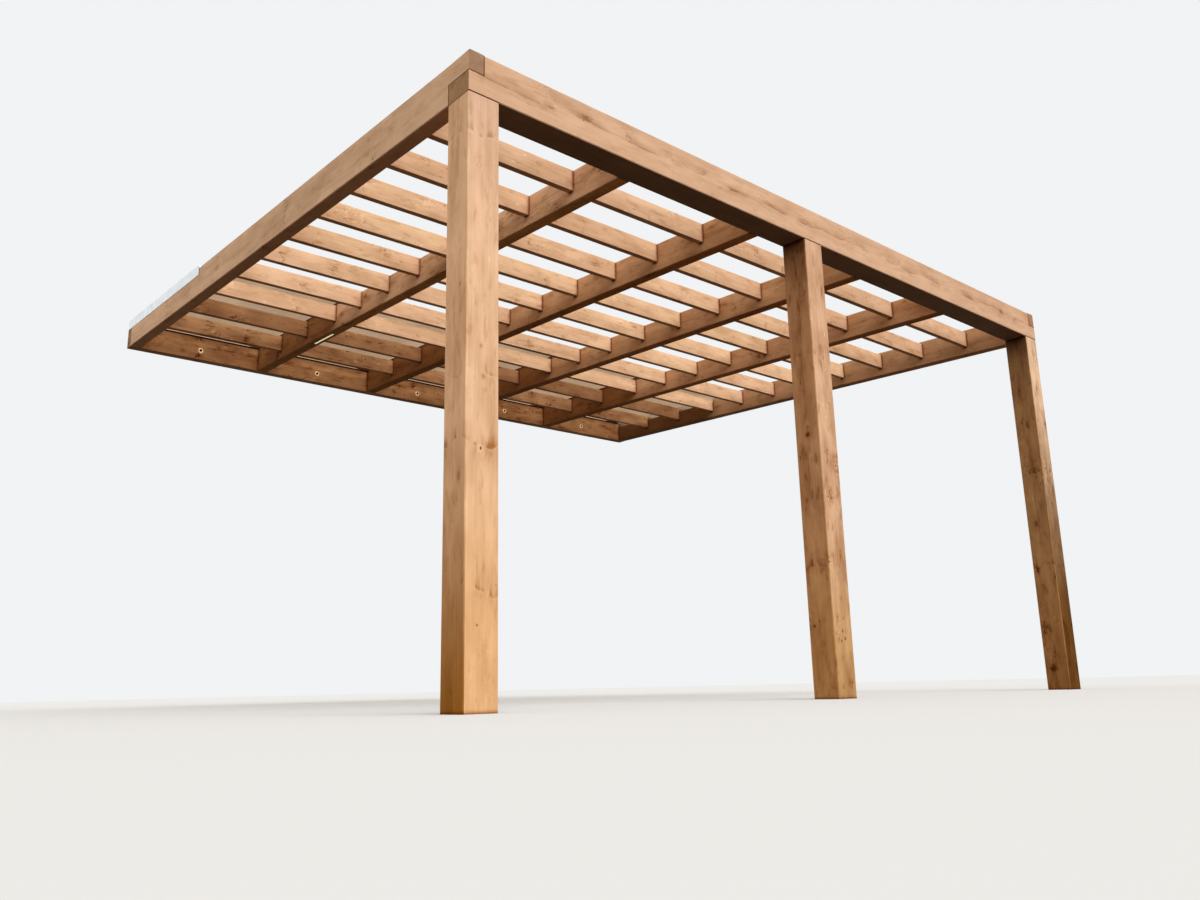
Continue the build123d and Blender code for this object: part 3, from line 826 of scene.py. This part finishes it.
def sweptStrip(profile, start, end, steps, swelling=0.0):
    # the profile (side, up) goes straight from start to end: point = path + swell * (side * s + up * u),
    # with swell = 1 + swelling * the sum of share * sine along the path
    start, end = np.array(start, float), np.array(end, float)
    t = np.linspace(0, 1, steps)[:, None, None]
    forward = (end - start) / np.linalg.norm(end - start)
    sideways = np.cross(forward, (0.0, 0.0, 1.0))
    sideways /= np.linalg.norm(sideways)
    upward = np.cross(sideways, forward)
    far = t * np.linalg.norm(end - start)
    swell = 1 + swelling * sum(share * np.sin(far * pitch + begin) for share, pitch, begin in swells)
    profile = np.array(profile, float)
    section = profile[None, :, :1] * sideways + profile[None, :, 1:] * upward
    points = start + t * (end - start) + swell * section
    count = len(profile)
    around = gridFaces(steps, count, True)[:, ::-1].tolist()
    ends = [list(range(count)), list(range((steps - 1) * count, steps * count))[::-1]]
    return points.reshape(-1, 3), around + ends


def joinedStrips(strips):
    # several (points, faces) as one mesh: each part's corners count on from the part before
    allPoints, allFaces, count = [], [], 0
    for points, faces in strips:
        allPoints.append(points)
        allFaces += [[corner + count for corner in face] for face in faces]
        count += len(points)
    return np.vstack(allPoints), allFaces


# a bead of black sealant where the sheets meet the wall
backSeal = {
    "start": (-2.5785, -0.0004, 0.1105), "end": (2.5785, -0.0004, 0.1105), "steps": 260, "swelling": 0.05,
    "profile": ((0.0, -0.010), (0.0090, -0.010), (0.0090, 0.0006), (0.0150, 0.0010), (0.0142, 0.0042),
                (0.0098, 0.0078), (0.0045, 0.0100), (0.0, 0.0106))}
bead = sweptStrip(*(backSeal[key] for key in ("profile", "start", "end", "steps", "swelling")))
newPiece("back_seal", *bead, rubber, "black_seal")

# rubber lips show at both edges of each joint bar, and thin battens of the rafter's own wood close the gap
# under the sheets on both sides of it
alongBar = {"front": -1.490, "back": -0.012, "steps": 40}
barLips = {
    "half": 0.0305, "atWall": 0.1104,
    "profile": ((-0.0018, -0.0002), (0.0018, -0.0002), (0.0020, 0.0010), (0.0010, 0.0020), (-0.0010, 0.0020),
                (-0.0020, 0.0010))}
barBattens = {
    "half": 0.0302, "atWall": 0.0830,
    "profile": ((-0.0080, 0.0), (0.0, 0.0), (0.0, 0.0186), (-0.0070, 0.0186), (-0.0080, 0.0176))}


def stripsAtBar(bar, look, mirrored):
    # one strip at bar - half and one at bar + half; mirrored turns the profile over on the second
    strips = []
    for side in (-1, 1):
        profile = look["profile"]
        if mirrored and side > 0:
            profile = [(-x, z) for x, z in profile[::-1]]
        start, end = ((bar + side * look["half"], alongBar[at], look["atWall"] + alongBar[at] * fallRatio)
                      for at in ("front", "back"))
        strips.append(sweptStrip(profile, start, end, alongBar["steps"]))
    return joinedStrips(strips)


for number, bar in enumerate(bars, 1):
    newPiece(f"bar_lips_{number}", *stripsAtBar(bar, barLips, False), rubber, "black_seal")
    rafterWood = nodes[f"rafter_{number}"].data.materials[0]
    newPiece(f"bar_battens_{number}", *stripsAtBar(bar, barBattens, True), rafterWood, "stained_timber")

# in each bay a thin bronze anodised edging along the top of the ledger, over a dark sealing tape, and a band
# of the same tape under the sheets in front of it
baySpans = ((-2.4985, 0.920), (-1.4905, 0.920), (-0.4825, 0.920), (0.5255, 0.920), (1.5335, 0.965))
ledgerTop = {"face": -0.0802, "height": 0.0975, "steps": 12}
ledgerEdging = ((0.0, -0.0056), (0.0004, -0.0056), (0.0050, -0.0002), (0.0050, 0.0006), (0.0, 0.0009))
ledgerTape = ((0.0, -0.0175), (0.0012, -0.0175), (0.0012, -0.0057), (0.0, -0.0057))
sheetTape = {"middle": -0.0975, "underSheet": -0.0089,
             "profile": ((-0.016, 0.0), (0.016, 0.0), (0.016, 0.0008), (-0.016, 0.0008))}


def stripInBays(profile, depth, height):
    # the same profile along each bay: from (left, depth, height) to (left + width, depth, height)
    ends = (((left, depth, height), (left + width, depth, height)) for left, width in baySpans)
    return joinedStrips([sweptStrip(profile, start, end, ledgerTop["steps"]) for start, end in ends])


for name, profile, material, slot in (("ledger_edging", ledgerEdging, anodised, "mill_aluminium"),
                                      ("ledger_edge_tape", ledgerTape, rubber, "black_seal")):
    newPiece(name, *stripInBays(profile, ledgerTop["face"], ledgerTop["height"]), material, slot)
height = barLips["atWall"] + sheetTape["middle"] * fallRatio + sheetTape["underSheet"]
newPiece("sheet_tape", *stripInBays(sheetTape["profile"], sheetTape["middle"], height), rubber, "black_seal")

# a short zinc plated strip along the underside of the first rafter
rafterStrip = {
    "across": -1.5325, "along": (-1.36, -1.06), "underAtWall": -0.0975, "steps": 12,
    "profile": ((-0.0064, -0.0020), (0.0064, -0.0020), (0.0072, -0.0012), (0.0072, 0.0002),
                (-0.0072, 0.0002), (-0.0072, -0.0012))}
start, end = ((rafterStrip["across"], y, rafterStrip["underAtWall"] + y * fallRatio)
              for y in rafterStrip["along"])
strip = sweptStrip(rafterStrip["profile"], start, end, rafterStrip["steps"])
newPiece("rafter_strip", *strip, zinc, "zinc_steel")
print("seals in")


# floor, light, camera

stage = {
    "floorHeight": -2.826, "floorReach": 90.0, "floorPoints": 3, "floorColour": "#dcdcda",
    "floorBounce": "#49392d", "backdrop": "#f1f3f4", "skyStrength": 0.80, "skyColour": "#fffaf4",
    "keyStrength": 2.35, "keyAngle": 60.0, "keyFrom": (-0.12, -0.84, 0.60), "keyColour": "#f6faff",
}
count = stage["floorPoints"]
steps = np.linspace(-stage["floorReach"], stage["floorReach"], count)
gridX, gridY = np.meshgrid(steps, steps)
floorZ = np.full(gridX.size, stage["floorHeight"])
floorPoints = np.column_stack((gridX.ravel(), gridY.ravel(), floorZ))
floorMesh = bpy.data.meshes.new("floor")
floorMesh.from_pydata(floorPoints.tolist(), [], gridFaces(count, count, False).tolist())
floor = bpy.data.objects.new("floor", floorMesh)
bpy.context.scene.collection.objects.link(floor)


def seenDirectly(add):
    # 1 for rays from the camera, off something glossy or through something clear, else 0
    rays = add("LightPath").outputs
    seen = add(larger, [rays["Is Camera Ray"], rays["Is Glossy Ray"]])
    return add(larger, [seen, rays["Is Transmission Ray"]])


floorMaterial, add = newMaterial("paleFloor")
colour = {0: seenDirectly(add), 6: stage["floorBounce"], 7: stage["floorColour"]}
colour = add("Mix", colours, colour).outputs[2]
add("OutputMaterial", [add("BsdfDiffuse", [colour])])
dress(floor, floorMaterial)

world = bpy.data.worlds.new("softStudio")
bpy.context.scene.world = world
world.use_nodes = True
world.node_tree.nodes.clear()
add = partial(addNode, world.node_tree)
sky = add("Background", [stage["skyColour"], stage["skyStrength"]])
backdrop = add("Background", [stage["backdrop"], 1.0])
add("OutputWorld", [add("MixShader", [seenDirectly(add), sky, backdrop])])

key = bpy.data.objects.new("softKey", bpy.data.lights.new("softKey", "SUN"))
key.data.energy = stage["keyStrength"]
key.data.angle = math.radians(stage["keyAngle"])
key.data.color = linear(stage["keyColour"])[:3]
key.rotation_euler = Vector(stage["keyFrom"]).to_track_quat("Z", "Y").to_euler()
bpy.context.scene.collection.objects.link(key)

view = {"place": (-4.6991, -7.8935, -2.7403), "turn": (103.424, 1.289, -41.228), "lens": 29.875,
        "sensor": 36, "clipEnd": 400}
camera = bpy.data.objects.new("camera", bpy.data.cameras.new("camera"))
camera.location = view["place"]
camera.rotation_euler = [math.radians(degrees) for degrees in view["turn"]]
camera.data.lens = view["lens"]
camera.data.sensor_width = view["sensor"]
camera.data.clip_end = view["clipEnd"]
bpy.context.scene.collection.objects.link(camera)
bpy.context.scene.camera = camera
bpy.context.scene.view_settings.view_transform = "Standard"
print("stage set")
